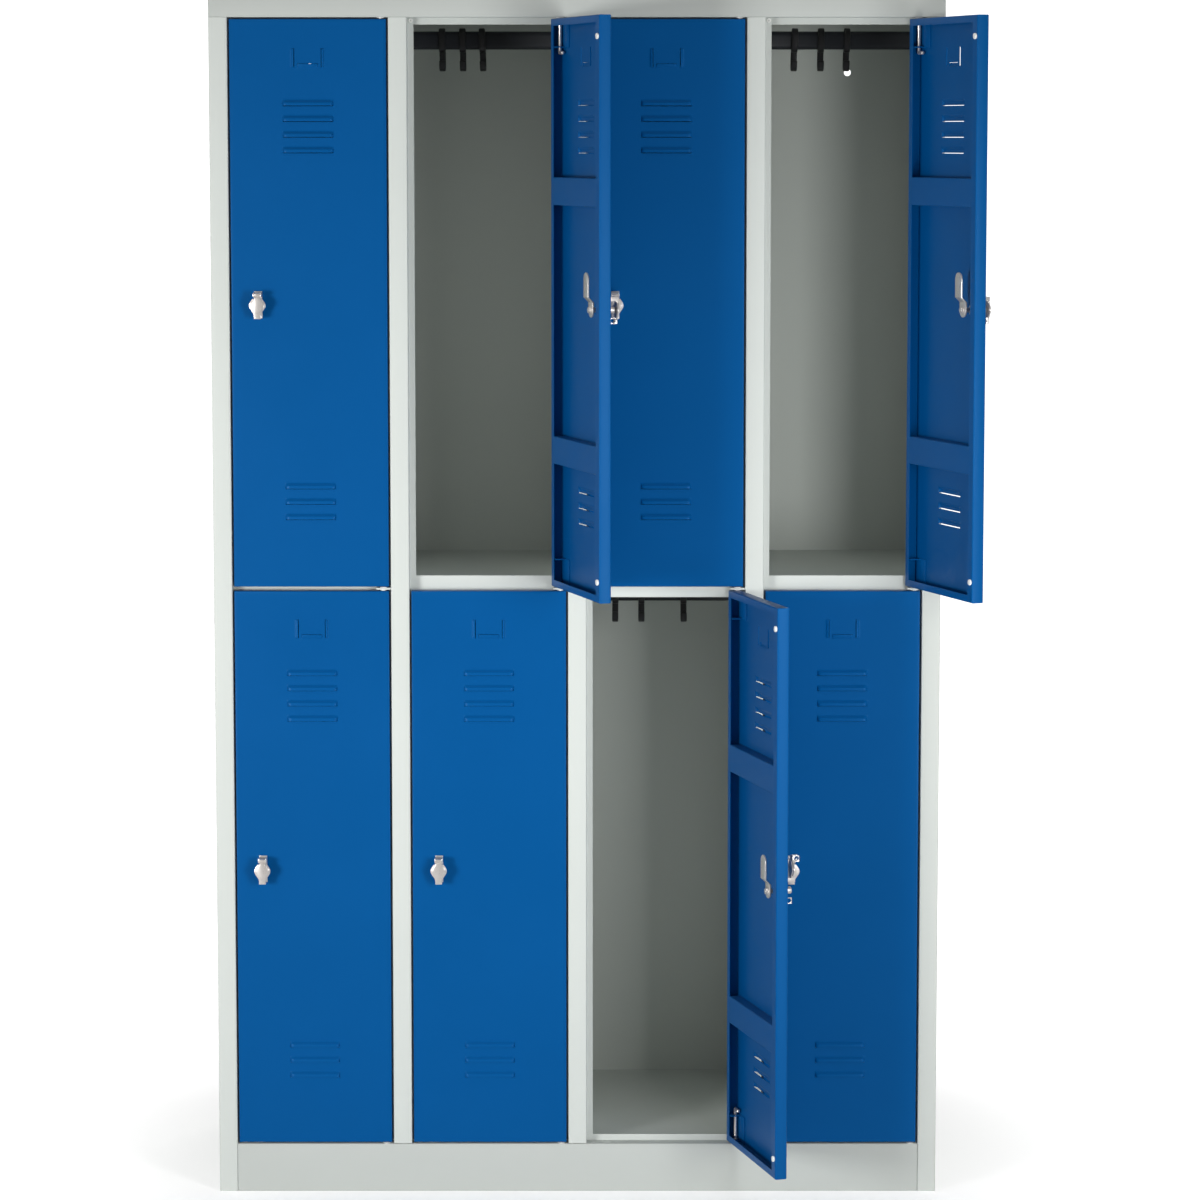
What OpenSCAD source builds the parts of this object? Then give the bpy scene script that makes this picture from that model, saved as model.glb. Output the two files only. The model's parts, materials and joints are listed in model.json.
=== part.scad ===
// School locker: a steel cabinet of four columns and two tiers, with eight hinged doors.
// Millimetres. Z is up, the front faces -Y, and the origin is the middle of the footprint
// on the floor. Three doors are drawn open: upper 2, upper 4 and lower 3.

/* [Cabinet] */
// Overall width
body_w = 1180; // [960:10:1500]
// Overall height
body_h = 1950; // [1600:10:2350]
// Overall depth
body_d = 500; // [400:10:620]
// Height of the plinth panel under the doors
plinth_h = 80; // [40:5:150]
// Height of the rail above the doors
top_rail_h = 29; // [22:1:60]
// Width of each front post
post_w = 30; // [24:1:36]
// Thickness of the cabinet sheet
sheet = 1; // [0.8:0.1:1.2]

/* [Door stop] */
// How far the stop lies behind the front face
stop_depth = 23.5; // [23.2:0.1:28]
// Width of stop that shows beside a post
stop_w = 10; // [8:0.5:12]
// Height of stop that shows under the top rail
top_lip_h = 11; // [8:1:16]
// Height of the lip in front of the floor
floor_lip_h = 10; // [8:1:16]
// Height of the lip in front of a shelf
shelf_lip_h = 36; // [30:1:44]

/* [Doors] */
// Thickness of a door
door_t = 20; // [18:0.5:20]
// Thickness of the door sheet
door_sheet = 1; // [0.8:0.1:1.2]
// Gap between a door and the post on each side
side_gap = 3; // [3:0.5:4]
// Gap above an upper door and below a lower one
end_gap = 2.5; // [2.5:0.5:4]
// Gap between an upper door and the lower one
middle_gap = 7; // [7:0.5:10]
// Width of the door's return lip on the hinge side
hinge_lip = 14; // [12:0.5:18]
// Width of the door's return lip on the free side
free_lip = 17; // [15:0.5:20]
// Width of the door's return lips at the top and bottom
end_lip = 11.5; // [9:0.5:16]

/* [Hinges] */
// Distance from the hinge edge of the door to the pivot
pivot_in = 9; // [8.5:0.1:9.2]
// Distance from the front of the door to the pivot
pivot_back = 7; // [6.5:0.1:7.2]
// Diameter of a hinge pin
pin_d = 6; // [5:0.5:6]
// Radial clearance of every running fit
fit = 0.05; // [0.03:0.01:0.08]
// How far a hinge bolt reaches past the end of its door
bolt_reach = 7.5; // [6.5:0.5:7.5]
// Length of the bracket that carries a hinge pin
bracket_h = 45; // [38:1:60]

/* [Louvers and label] */
// Width of a louver
louver_w = 81; // [60:1:100]
// Height of a louver
louver_h = 10; // [8:0.5:12]
// How far a louver stands out
louver_out = 4; // [3:0.5:5]
// Spacing of the louvers
louver_pitch = 25; // [18:1:30]
// Louvers near the top of a door
top_louvers = 4; // [2:1:5]
// Louvers near the bottom of a door
bottom_louvers = 3; // [2:1:5]
// Distance from the top of the door to the first louver
louver_top = 128; // [110:1:160]
// Distance from the bottom of the door to the last louver
louver_bottom = 120; // [90:1:150]
// Width of the label holder
label_w = 54.6; // [40:0.2:70]
// Height of the label holder
label_h = 32; // [24:1:40]
// Distance from the top of the door to the label holder
label_top = 47; // [40:1:60]

/* [Lock] */
// Distance from the free edge of the door to the lock
lock_in = 43.5; // [41:0.5:50]
// Diameter of the spindle
spindle_d = 8; // [7:0.5:8]
// Length of the cam from the spindle to its tip
cam_l = 59; // [56:0.5:60]
// Width of the cam
cam_w = 23; // [18:1:23]
// Height of the padlock flap
flap_h = 44; // [40:1:48]
// Width of the padlock flap
flap_w = 26.5; // [22:0.5:30]

/* [Rails and hooks] */
// Height of a hanging rail
rail_h = 30; // [24:1:32]
// Thickness of a hanging rail
rail_t = 15; // [12:1:18]
// Distance from a compartment's ceiling to the middle of its rail
rail_drop = 59; // [50:1:70]
// Width of a coat hook
hook_w = 10.5; // [8:0.5:14]
// Thickness of the coat hook's strap
hook_t = 5; // [4:0.5:6]

/* [Hidden] */
columns = 4;
tiers = ["upper", "lower"];
$fn = 48;
touch = 0.3; // gap between pieces that only just clear
front = -body_d / 2;
opening_w = (body_w - (columns + 1) * post_w) / columns;
pitch = opening_w + post_w;
top_z = body_h - top_rail_h; // top of the door zone
mid_z = (plinth_h + top_z) / 2; // middle of the gap between the tiers
door_w = opening_w - 2 * side_gap;
door_h = (top_z - plinth_h - 2 * end_gap - middle_gap) / 2;
stop_y = front + stop_depth;
pivot_y = front + pivot_back;
shelf_z = mid_z + 9.5; // top face of a shelf
shelf_fold = 15; // height of the folds along the sides of a shelf
lip_base = mid_z - 16.5; // lower edge of a shelf's front lip
sleeve_d = spindle_d + 4;
sleeve_end = -1.5; // inner end of the lock's sleeve, from the pivot plane
bush_d = pin_d + 3;
bush_flange = pin_d + 6;
bush_lip = 1;
bush_l = 10; // length of a bush in the top rail or the plinth
lug_t = 3; // thickness of the lug between the doors
outside = -pivot_back; // outer face of a door, from its pivot plane
inside = door_t - pivot_back; // inner face of a door's lips, from its pivot plane
hinge_edge = pivot_in;
free_edge = pivot_in - door_w;
lock_x = free_edge + lock_in;
lock_z = door_h / 2;
hinge_h = 17; // height of the flap's hinge above the spindle
hinge_out = 21; // how far the flap's hinge stands off the door
flap_pin_d = 3;
hasp_h = -17; // height of the padlock hole, from the spindle
hasp_out = 15.5;
hasp_hole = 7.5;
spindle_end = 10.5; // inner end of the spindle, from the pivot plane
cam_t = 2.5;
crossbar_h = 45;
crossbar_top = 297; // from the top of a door to the lower edge of its upper crossbar
crossbar_low = 200.5; // from the bottom of a door to its lower crossbar

// How far each door stands open in the drawing, from column 1 to column 4.
open_angle = [[0, 108, 0, 110], [0, 0, 106, 0]];
// How far each padlock flap is lifted in the drawing.
flap_angle = [[0, 0, 0, 0], [0, 0, 180, 0]];
// Where the hooks of each compartment hang, from the left edge of its opening.
hook_places = [
    [[58, 102, 145], [47, 81, 114], [50, 95, 140], [58, 102, 145]],
    [[60, 98, 150], [52, 90, 132], [48, 92, 163], [55, 100, 146]]
];

function opening_x(c) = -body_w / 2 + post_w + pitch * (c - 1);
function pivot_x(c) = opening_x(c) + opening_w - side_gap - pivot_in;
function post_x(n) = -body_w / 2 + post_w / 2 + pitch * n;
function door_z(t) = t == 0 ? mid_z + middle_gap / 2 : plinth_h + end_gap;
function wall_left(c) = c == 1 ? -body_w / 2 + sheet : post_x(c - 1) + sheet / 2;
function wall_right(c) = c == columns ? body_w / 2 - sheet : post_x(c) - sheet / 2;
function rail_z(t) = (t == 0 ? top_z + 28 : lip_base + 41) - rail_drop;

frame_nodes = ["side_left", "side_right", "back_panel", "top_panel", "floor_panel", "plinth",
    "partition_1", "partition_2", "partition_3", "shelves", "hanging_rails", "frame_fittings"];
door_parts = ["door", "door_fittings", "hinge_bolt", "lock", "lock_flap", "hooks"];

// A box from its lowest to its highest corner.
module block(low, high) {
    translate(low) cube(high - low);
}

// ---------- cabinet ----------

// Post, stop and edge of one side panel, seen from above, on the left-hand side.
module side_section() {
    translate([0, front]) square([sheet, body_d]);
    translate([0, front]) square([post_w, sheet]);
    translate([post_w - sheet, front]) square([sheet, stop_depth]);
    translate([post_w - sheet, stop_y]) square([stop_w + sheet, sheet]);
}

module side_panel() {
    color("gainsboro") translate([-body_w / 2, 0, 0]) {
        linear_extrude(top_z) side_section();
        block([0, front + sheet, top_z - sheet], [sheet, -front, body_h - sheet]);
    }
}

module side_left() {
    side_panel();
}

module side_right() {
    mirror([1, 0, 0]) side_panel();
}

// Hollow post with the stop folded out on both sides and a single web behind it.
module partition(n) {
    half = post_w / 2;
    color("gainsboro") translate([post_x(n), 0, 0]) {
        difference() {
            block([-half, front, plinth_h], [half, stop_y + sheet, top_z]);
            block([-half + sheet, front + sheet, plinth_h - 1], [half - sheet, stop_y, top_z + 1]);
        }
        block([-half - stop_w, stop_y, plinth_h + sheet], [half + stop_w, stop_y + sheet, top_z]);
        block([-sheet / 2, stop_y + sheet, plinth_h + sheet],
            [sheet / 2, -front - sheet, body_h - sheet]);
    }
}

// Wall-fixing hole: a round entry with a narrow slot above it.
module keyhole() {
    rotate([-90, 0, 0]) translate([0, 0, -5]) {
        cylinder(d = 12, h = 10);
        translate([-2.5, -20, 0]) cube([5, 20, 10]);
    }
}

module back_panel() {
    keyhole_in = 125;
    keyhole_z = body_h - 109;
    color("gainsboro") difference() {
        block([-body_w / 2 + sheet, -front - sheet, 0], [body_w / 2 - sheet, -front, body_h - sheet]);
        for (side = [-1, 1])
            translate([side * (body_w / 2 - keyhole_in), -front, keyhole_z]) keyhole();
    }
}

module top_panel() {
    return_y = stop_y + sheet;
    color("darkgray") difference() {
        union() {
            block([-body_w / 2, front, body_h - sheet], [body_w / 2, -front, body_h]);
            block([-body_w / 2, front, top_z], [body_w / 2, front + sheet, body_h]);
            block([-body_w / 2 + sheet, front, top_z], [body_w / 2 - sheet, return_y, top_z + sheet]);
            for (c = [1:columns])
                block([opening_x(c) + stop_w, stop_y, top_z - top_lip_h],
                    [opening_x(c) + opening_w - stop_w, return_y, top_z + sheet]);
        }
        for (c = [1:columns])
            translate([pivot_x(c), pivot_y, top_z - 1]) cylinder(d = bush_d, h = 3);
    }
}

module floor_panel() {
    color("gainsboro") {
        block([-body_w / 2 + sheet, stop_y + sheet, plinth_h],
            [body_w / 2 - sheet, -front - sheet, plinth_h + sheet]);
        for (c = [1:columns])
            block([opening_x(c) + stop_w, stop_y, plinth_h],
                [opening_x(c) + opening_w - stop_w, stop_y + sheet, plinth_h + floor_lip_h]);
    }
}

module plinth() {
    half = body_w / 2 - post_w - touch;
    slot_back = 8; // distance from the front to the drain slots
    color("gainsboro") difference() {
        union() {
            block([-half, front, 0], [half, front + sheet, plinth_h]);
            block([-half, front, plinth_h - sheet], [half, stop_y, plinth_h]);
            block([-half, front, 0], [half, stop_y, sheet]);
        }
        for (c = [1:columns]) {
            translate([pivot_x(c), pivot_y, plinth_h - 2]) cylinder(d = bush_d, h = 3);
            for (slot = [[7, 7.5], [26, 15]])
                translate([opening_x(c) + slot[0], front + slot_back, plinth_h - 2])
                    cube([slot[1], 4, 3]);
        }
    }
}

// One shelf: deck, front lip, side folds and the lug that carries two hinge pins.
module shelf(c) {
    left = wall_left(c) + touch;
    right = wall_right(c) - touch;
    lip_left = opening_x(c) + stop_w;
    lip_right = opening_x(c) + opening_w - stop_w;
    lug_left = pivot_x(c) - 12;
    lug_right = opening_x(c) + opening_w - touch;
    difference() {
        union() {
            block([left, stop_y + sheet, shelf_z - sheet], [right, -front - sheet, shelf_z]);
            block([lip_left, stop_y, shelf_z - sheet], [lip_right, stop_y + sheet + 1, shelf_z]);
            block([lip_left, stop_y, lip_base], [lip_right, stop_y + sheet, lip_base + shelf_lip_h]);
            block([lip_left, stop_y, lip_base], [lip_right, stop_y + 20, lip_base + sheet]);
            for (x = [left, right - sheet])
                block([x, stop_y + 3, shelf_z - shelf_fold], [x + sheet, -front - 10, shelf_z]);
            block([lug_left, front + 1, mid_z - lug_t / 2], [lug_right, stop_y, mid_z + lug_t / 2]);
            block([lug_left, stop_y - 1, mid_z - lug_t / 2],
                [lip_right, stop_y + sheet, mid_z + lug_t / 2]);
        }
        translate([pivot_x(c), pivot_y, mid_z - lug_t]) cylinder(d = bush_d, h = 2 * lug_t);
    }
}

module shelves() {
    color("gainsboro") for (c = [1:columns]) shelf(c);
}

// Flat oval tube standing on edge, with a socket plate at each wall.
module rail_outline(grow = 0) {
    r = rail_t / 2 + grow;
    for (z = [-1, 1]) translate([0, z * (rail_h - rail_t) / 2]) circle(r);
    translate([-r, -(rail_h - rail_t) / 2]) square([2 * r, rail_h - rail_t]);
}

module along_x(length) {
    rotate([90, 0, 90]) linear_extrude(length) children();
}

module hanging_rail(c) {
    left = wall_left(c);
    right = wall_right(c);
    socket_t = 3;
    translate([left, 0, 0]) difference() {
        union() {
            along_x(right - left) rail_outline();
            for (x = [0, right - left - socket_t])
                translate([x, 0, 0]) along_x(socket_t) rail_outline(4);
        }
        translate([-1, 0, 0]) along_x(right - left + 2) rail_outline(-1.5);
    }
}

module hanging_rails() {
    color("dimgray") for (t = [0, 1]) for (c = [1:columns])
        translate([0, 0, rail_z(t)]) hanging_rail(c);
}

// Plastic bush with a flange on its lower end and, when snapped into a lug, one on top.
module bush(length, lips) {
    difference() {
        union() {
            cylinder(d = bush_d - 2 * fit, h = length);
            for (z = lips) translate([0, 0, z]) cylinder(d = bush_flange, h = bush_lip);
        }
        translate([0, 0, -1]) cylinder(d = pin_d + 2 * fit, h = length + 2);
    }
}

module frame_fittings() {
    ring_in = 5.5; // from the edge of the opening to the middle of the ring buffer
    ring_drop = 4.5; // from the underside of the rail to the middle of the ring buffer
    color("whitesmoke") for (c = [1:columns]) {
        translate([pivot_x(c), pivot_y, top_z - bush_lip]) bush(bush_l, [0]);
        translate([pivot_x(c), pivot_y, mid_z - lug_t / 2 - bush_lip])
            bush(lug_t + 2 * bush_lip, [0, lug_t + bush_lip]);
        translate([pivot_x(c), pivot_y, plinth_h + bush_lip]) mirror([0, 0, 1]) bush(bush_l, [0]);
        translate([opening_x(c) + ring_in, stop_y, top_z - ring_drop]) rotate([90, 0, 0]) difference() {
            cylinder(d = 7, h = 2);
            translate([0, 0, -1]) cylinder(d = 2.5, h = 4);
        }
    }
}

// ---------- doors ----------
// A door is drawn closed, about its pivot axis, with its lower edge at z = 0.

// Puts what belongs to a door in its place, swung open as drawn.
module at_door(t, c) {
    translate([pivot_x(c), pivot_y, door_z(t)]) rotate([0, 0, open_angle[t][c - 1]]) children();
}

// Turns the hinge hardware over, so that a lower door has its bolt at the bottom.
module bolt_up(t) {
    if (t == 0) children();
    else translate([0, 0, door_h]) mirror([0, 0, 1]) children();
}

function louver_places() = concat(
    [for (i = [0:top_louvers - 1]) door_h - louver_top - louver_h - i * louver_pitch],
    [for (i = [0:bottom_louvers - 1]) louver_bottom - louver_h + i * louver_pitch]);

// Pressed hood, open at the bottom, and the slot that it covers.
module louver_hood() {
    slope = louver_h / louver_out;
    translate([-louver_w / 2, 0, 0]) difference() {
        along_x(louver_w) polygon([[0, 0], [-louver_out, 0], [0, louver_h]]);
        translate([door_sheet, 0, 0]) along_x(louver_w - 2 * door_sheet) polygon([
            [1, -1], [-louver_out + door_sheet, -1], [-louver_out + door_sheet, 0],
            [0, louver_h - door_sheet * slope], [1, louver_h - door_sheet * slope]]);
    }
}

module label_holder() {
    lip_w = 5;
    bar_w = 33;
    bar_h = 7.5;
    out = 1.6;
    low = door_h - label_top - label_h;
    for (side = [-1, 1])
        translate([side * (label_w - lip_w) / 2 - lip_w / 2, outside - out, low + 2])
            cube([lip_w, out + door_sheet / 2, label_h - 2]);
    translate([-bar_w / 2, outside - out, low]) cube([bar_w, out + door_sheet / 2, bar_h]);
}

module door(t, c) {
    centre_x = (free_edge + hinge_edge) / 2;
    color("steelblue") at_door(t, c) difference() {
        union() {
            difference() {
                block([free_edge, outside, 0], [hinge_edge, inside, door_h]);
                block([free_edge + door_sheet, outside + door_sheet, door_sheet],
                    [hinge_edge - door_sheet, inside - door_sheet, door_h - door_sheet]);
                block([free_edge + free_lip, 0, end_lip],
                    [hinge_edge - hinge_lip, inside + 1, door_h - end_lip]);
                for (z = louver_places())
                    block([centre_x - louver_w / 2 + door_sheet, outside - 1, z],
                        [centre_x + louver_w / 2 - door_sheet, 0, z + louver_h * 0.75]);
            }
            for (z = louver_places()) translate([centre_x, outside, z]) louver_hood();
            translate([centre_x, 0, 0]) label_holder();
        }
        translate([0, 0, -1]) cylinder(d = pin_d + 2 * fit, h = door_h + 2);
        translate([lock_x, 0, lock_z]) rotate([90, 0, 0]) cylinder(d = sleeve_d + 2 * fit, h = 30);
    }
}

// Channel across the inside of a door, flush with its lips.
module crossbar(z) {
    left = free_edge + free_lip;
    right = hinge_edge - hinge_lip;
    difference() {
        block([left, outside + door_sheet, z], [right, inside, z + crossbar_h]);
        block([left - 1, outside, z + door_sheet],
            [right + 1, inside - door_sheet, z + crossbar_h - door_sheet]);
    }
}

// Bracket in a hinge-side corner, at the top end of the door.
module hinge_bracket(ears) {
    plate_w = 40;
    ear_t = 2;
    right = hinge_edge - door_sheet;
    plate_y = outside + door_sheet;
    top = door_h - door_sheet;
    difference() {
        union() {
            block([right - plate_w, plate_y, top - bracket_h], [right, plate_y + 1.5, top]);
            for (drop = ears)
                block([-11, plate_y, top - drop - ear_t], [right, inside - 2 * door_sheet, top - drop]);
        }
        translate([0, 0, top - bracket_h - 5]) cylinder(d = pin_d + 2 * fit, h = bracket_h + 10);
    }
}

// Fixed pin at the end of the door that turns in the middle lug.
module fixed_pin() {
    seat = door_sheet + 2 + fit; // just clear of the bracket's ear
    translate([0, 0, -3.2]) cylinder(d = pin_d, h = 3.2 + seat + 1);
    translate([0, 0, seat]) cylinder(d = pin_d + 3, h = 3);
}

// Fixed half of the lock: foot, sleeve, hinge ears, hinge pin and padlock eye.
module lock_foot() {
    foot_t = 2;
    half_h = 22;
    ear_x = 5;
    ear_t = 1.5;
    difference() {
        union() {
            block([-6.5, -foot_t, -half_h], [6.5, 0, half_h]);
            rotate([90, 0, 0]) translate([0, 0, -sleeve_end + outside])
                cylinder(d = sleeve_d, h = sleeve_end - outside + foot_t / 2);
            for (x = [-ear_x - ear_t, ear_x])
                block([x, -hinge_out - 3, hinge_h - 3.5], [x + ear_t, 0, hinge_h + 3.5]);
            block([-1.5, -hasp_out - 4.7, hasp_h - 5], [1.5, 0, hasp_h + 5]);
        }
        rotate([90, 0, 0]) translate([0, 0, -20]) cylinder(d = spindle_d + 2 * fit, h = 24);
        translate([-5, -hasp_out, hasp_h]) rotate([0, 90, 0]) cylinder(d = hasp_hole, h = 10);
    }
    translate([-ear_x - ear_t, -hinge_out, hinge_h]) rotate([0, 90, 0])
        cylinder(d = flap_pin_d, h = 2 * (ear_x + ear_t));
}

// Nut on the inner side of the door that holds the foot on its sleeve.
module lock_nut() {
    rotate([-90, 0, 0]) difference() {
        cylinder(d = 20, h = 4, $fn = 6);
        translate([0, 0, -1]) cylinder(d = sleeve_d + 2 * fit, h = 6);
    }
}

module door_fittings(t, c) {
    buffer_in = 5.3;
    buffer_end = 33;
    buffer_t = stop_depth - door_t - touch;
    at_door(t, c) {
        color("steelblue") {
            for (z = [door_h - crossbar_top, crossbar_low]) crossbar(z);
            hinge_bracket([0, bracket_h - 2]);
            translate([0, 0, door_h]) mirror([0, 0, 1]) hinge_bracket([0, bracket_h - 2]);
        }
        color("silver") {
            bolt_up(t) fixed_pin();
            translate([lock_x, outside, lock_z]) lock_foot();
            translate([lock_x, outside + door_sheet, lock_z]) lock_nut();
        }
        color("white") for (z = [buffer_end, door_h - buffer_end])
            translate([free_edge + buffer_in, inside, z]) rotate([-90, 0, 0])
                cylinder(d = 9.5, h = buffer_t);
    }
}

// Sprung bolt with a collar and a bent finger grip, at the top of an upper door.
module hinge_bolt(t, c) {
    top = door_h - door_sheet;
    grip_z = top - bracket_h - 8;
    grip_l = 14;
    color("silver") at_door(t, c) bolt_up(t) {
        translate([0, 0, grip_z]) cylinder(d = pin_d, h = door_h + bolt_reach - grip_z);
        translate([0, 0, top - 2 - 0.5 - 2]) cylinder(d = pin_d + 3, h = 2);
        translate([0, 0, grip_z]) sphere(d = pin_d);
        translate([-grip_l, 0, grip_z]) rotate([0, 90, 0]) cylinder(d = pin_d, h = grip_l);
        translate([-grip_l, 0, grip_z]) sphere(d = pin_d);
    }
}

// Cam: a cranked bar that stands upright when the lock is open.
module cam() {
    low = spindle_end;
    crank = 8;
    half = cam_w / 2;
    tip = cam_l - half;
    ramp = [12, 20];
    union() {
        translate([0, low + cam_t, 0]) rotate([90, 0, 0]) cylinder(r = half, h = cam_t);
        block([-half, low, 0], [half, low + cam_t, ramp[0]]);
        translate([-half, 0, 0]) along_x(cam_w) polygon([[low, ramp[0]], [low + cam_t, ramp[0]],
            [low + crank + cam_t, ramp[1]], [low + crank, ramp[1]]]);
        block([-half, low + crank, ramp[1]], [half, low + crank + cam_t, tip]);
        translate([0, low + crank + cam_t, tip]) rotate([90, 0, 0]) cylinder(r = half, h = cam_t);
    }
}

module lock(t, c) {
    hub_d = 12;
    hub_out = 18.4;
    color("silver") at_door(t, c) translate([lock_x, 0, lock_z]) {
        rotate([90, 0, 0]) difference() {
            union() {
                translate([0, 0, -spindle_end]) cylinder(d = spindle_d, h = spindle_end - outside + 3);
                translate([0, 0, -outside + 2 + touch]) cylinder(d = hub_d, h = hub_out - 2 - touch);
            }
            translate([-1.25, -hub_d, hub_out - outside - 3]) cube([2.5, 2 * hub_d, 5]);
        }
        translate([0, fit, 0]) cam();
        translate([0, spindle_end + cam_t + 2 * fit, 0]) rotate([-90, 0, 0]) {
            cylinder(d = 12, h = 1);
            translate([0, 0, 1]) cylinder(d = 9.5, h = 3);
        }
    }
}

// Half width of the flap at a height from the spindle: a narrow neck swelling to a lobe.
function flap_half(z) = 5.5 + (flap_w / 2 - 5.5) * pow((1 + cos(180 * z / 16.5)) / 2, 0.9);

module flap_outline() {
    zs = [for (i = [-8:8]) i * 2];
    polygon(concat([for (z = zs) [flap_half(z), z]], [for (i = [8:-1:-8]) [-flap_half(i * 2), i * 2]]));
}

module lock_flap(t, c) {
    plate_out = 20.5;
    plate_t = 2.2;
    neck = 4.7;
    tail = hinge_h + 5 - flap_h;
    color("silver") at_door(t, c)
        translate([lock_x, outside - hinge_out, lock_z + hinge_h])
        rotate([-flap_angle[t][c - 1], 0, 0])
        translate([0, hinge_out, -hinge_h])
        difference() {
            union() {
                translate([0, -plate_out, 0]) rotate([90, 0, 0]) intersection() {
                    linear_extrude(plate_t) flap_outline();
                    translate([-20, -20, 0]) cube([40, 31, 10]);
                }
                translate([0, -plate_out - plate_t, 0]) rotate([90, 0, 0])
                    linear_extrude(1.8) scale(0.8) flap_outline();
                block([-neck, -plate_out - plate_t, 8], [neck, -plate_out, hinge_h + 2]);
                block([-5.5, -plate_out - plate_t, tail], [5.5, -plate_out, -10]);
                for (x = [-5.5, 3.5])
                    block([x, -plate_out, tail], [x + 2, -hasp_out + 4.5, -12]);
                translate([-neck, -hinge_out, hinge_h]) rotate([0, 90, 0]) cylinder(d = 6, h = 2 * neck);
            }
            translate([-10, -hinge_out, hinge_h]) rotate([0, 90, 0])
                cylinder(d = flap_pin_d + 2 * fit, h = 20);
            translate([-10, -hasp_out, hasp_h]) rotate([0, 90, 0]) cylinder(d = hasp_hole, h = 20);
        }
}

// ---------- coat hooks ----------

// Loop that runs on the rail, with an upturned hook below it.
module hook_outline() {
    slack = 0.3; // room between the loop and the rail
    inner = 7;
    outer = 12.5;
    bend_z = -51 + outer;
    tip_z = -33;
    difference() {
        rail_outline(slack + hook_t);
        rail_outline(slack);
    }
    translate([0, bend_z]) difference() {
        circle(outer);
        circle(inner);
        translate([-20, 0]) square(40);
    }
    translate([inner, bend_z]) square([outer - inner, -bend_z - rail_h / 2 + 3]);
    translate([-outer, bend_z]) square([outer - inner, tip_z - bend_z]);
}

module hooks(t, c) {
    color("black") for (place = hook_places[t][c - 1])
        translate([opening_x(c) + place - hook_w / 2, 0, rail_z(t)]) along_x(hook_w) hook_outline();
}

// ---------- nodes ----------

side_left();
side_right();
back_panel();
top_panel();
floor_panel();
plinth();
for (n = [1:3]) partition(n);
shelves();
hanging_rails();
frame_fittings();
for (t = [0, 1]) for (c = [1:columns]) {
    name = str("_", tiers[t], "_", c);
    door(t, c);
    door_fittings(t, c);
    hinge_bolt(t, c);
    lock(t, c);
    lock_flap(t, c);
    hooks(t, c);
}
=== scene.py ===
# %% [markdown]
# # A school locker in powder-coated sheet steel
#
# The real cabinet is cut, folded and welded from 1 mm steel sheet, then powder coated: light grey for
# the body, gentian blue for the doors. What makes it look real is not complicated geometry but honest
# folds: every edge is a small bend radius that catches a line of light. So this lesson builds the
# panels as bent sheet instead of boxes, presses the louvers out of the door sheet, and keeps the small
# plated hardware as the design has it, with its sharp edges broken.

# %% Load the fixed frame
import json
import math

import bmesh
import bpy
from mathutils import Matrix, Vector


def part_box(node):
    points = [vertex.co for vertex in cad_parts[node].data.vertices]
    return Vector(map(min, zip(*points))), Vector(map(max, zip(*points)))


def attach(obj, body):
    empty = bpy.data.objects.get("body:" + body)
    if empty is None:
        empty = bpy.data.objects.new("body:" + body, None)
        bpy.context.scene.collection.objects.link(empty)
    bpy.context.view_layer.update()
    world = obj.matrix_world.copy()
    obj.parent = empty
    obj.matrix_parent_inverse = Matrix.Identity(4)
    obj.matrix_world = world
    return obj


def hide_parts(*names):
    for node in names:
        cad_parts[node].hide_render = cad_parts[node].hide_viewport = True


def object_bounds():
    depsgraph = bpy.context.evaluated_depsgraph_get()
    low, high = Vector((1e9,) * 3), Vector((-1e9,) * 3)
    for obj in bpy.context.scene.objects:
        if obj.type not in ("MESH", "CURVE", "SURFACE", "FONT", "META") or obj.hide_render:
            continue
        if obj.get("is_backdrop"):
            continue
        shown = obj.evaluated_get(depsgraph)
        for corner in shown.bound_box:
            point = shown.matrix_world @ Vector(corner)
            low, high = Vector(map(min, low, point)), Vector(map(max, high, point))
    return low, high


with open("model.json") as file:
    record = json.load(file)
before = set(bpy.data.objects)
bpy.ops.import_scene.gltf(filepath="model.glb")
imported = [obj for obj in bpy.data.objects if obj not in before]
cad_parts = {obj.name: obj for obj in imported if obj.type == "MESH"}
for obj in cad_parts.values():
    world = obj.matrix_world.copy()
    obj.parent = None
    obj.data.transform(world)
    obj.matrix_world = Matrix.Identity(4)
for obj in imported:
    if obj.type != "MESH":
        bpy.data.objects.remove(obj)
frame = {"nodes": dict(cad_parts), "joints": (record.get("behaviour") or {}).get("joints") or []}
cad_low, cad_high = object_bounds()
MM = 0.001  # the shapes below are written in millimetres and scaled to metres at the end
print("cabinet box in metres:", tuple(round(v, 3) for v in cad_high - cad_low))

# %% [markdown]
# ## Sizes
#
# Nothing is measured twice. The overall sizes, the door places and the hinge axes are read from the
# design's own nodes and joints; only the sheet-metal habits of the maker, such as bend radius and lip
# width, are written here. A door is always shaped in its own closed frame, with the hinge axis at the
# origin, and its matrix then swings it open as the design stands.

# %% Read the sizes of the cabinet
SHEET = 1.0         # thickness of every folded sheet
BEND = 1.0          # inner radius of a fold
STOP_DEPTH = 23.5   # how far the door stop lies behind the front
STOP_W = 10.0       # width of door stop beside a post
END_GAP = 2.5       # gap above an upper door and below a lower one
COLUMNS = (1, 2, 3, 4)
TIERS = ("upper", "lower")


def box(node):
    """Lowest and highest corner of a node, in millimetres."""
    low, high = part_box(node)
    return low / MM, high / MM


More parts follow.
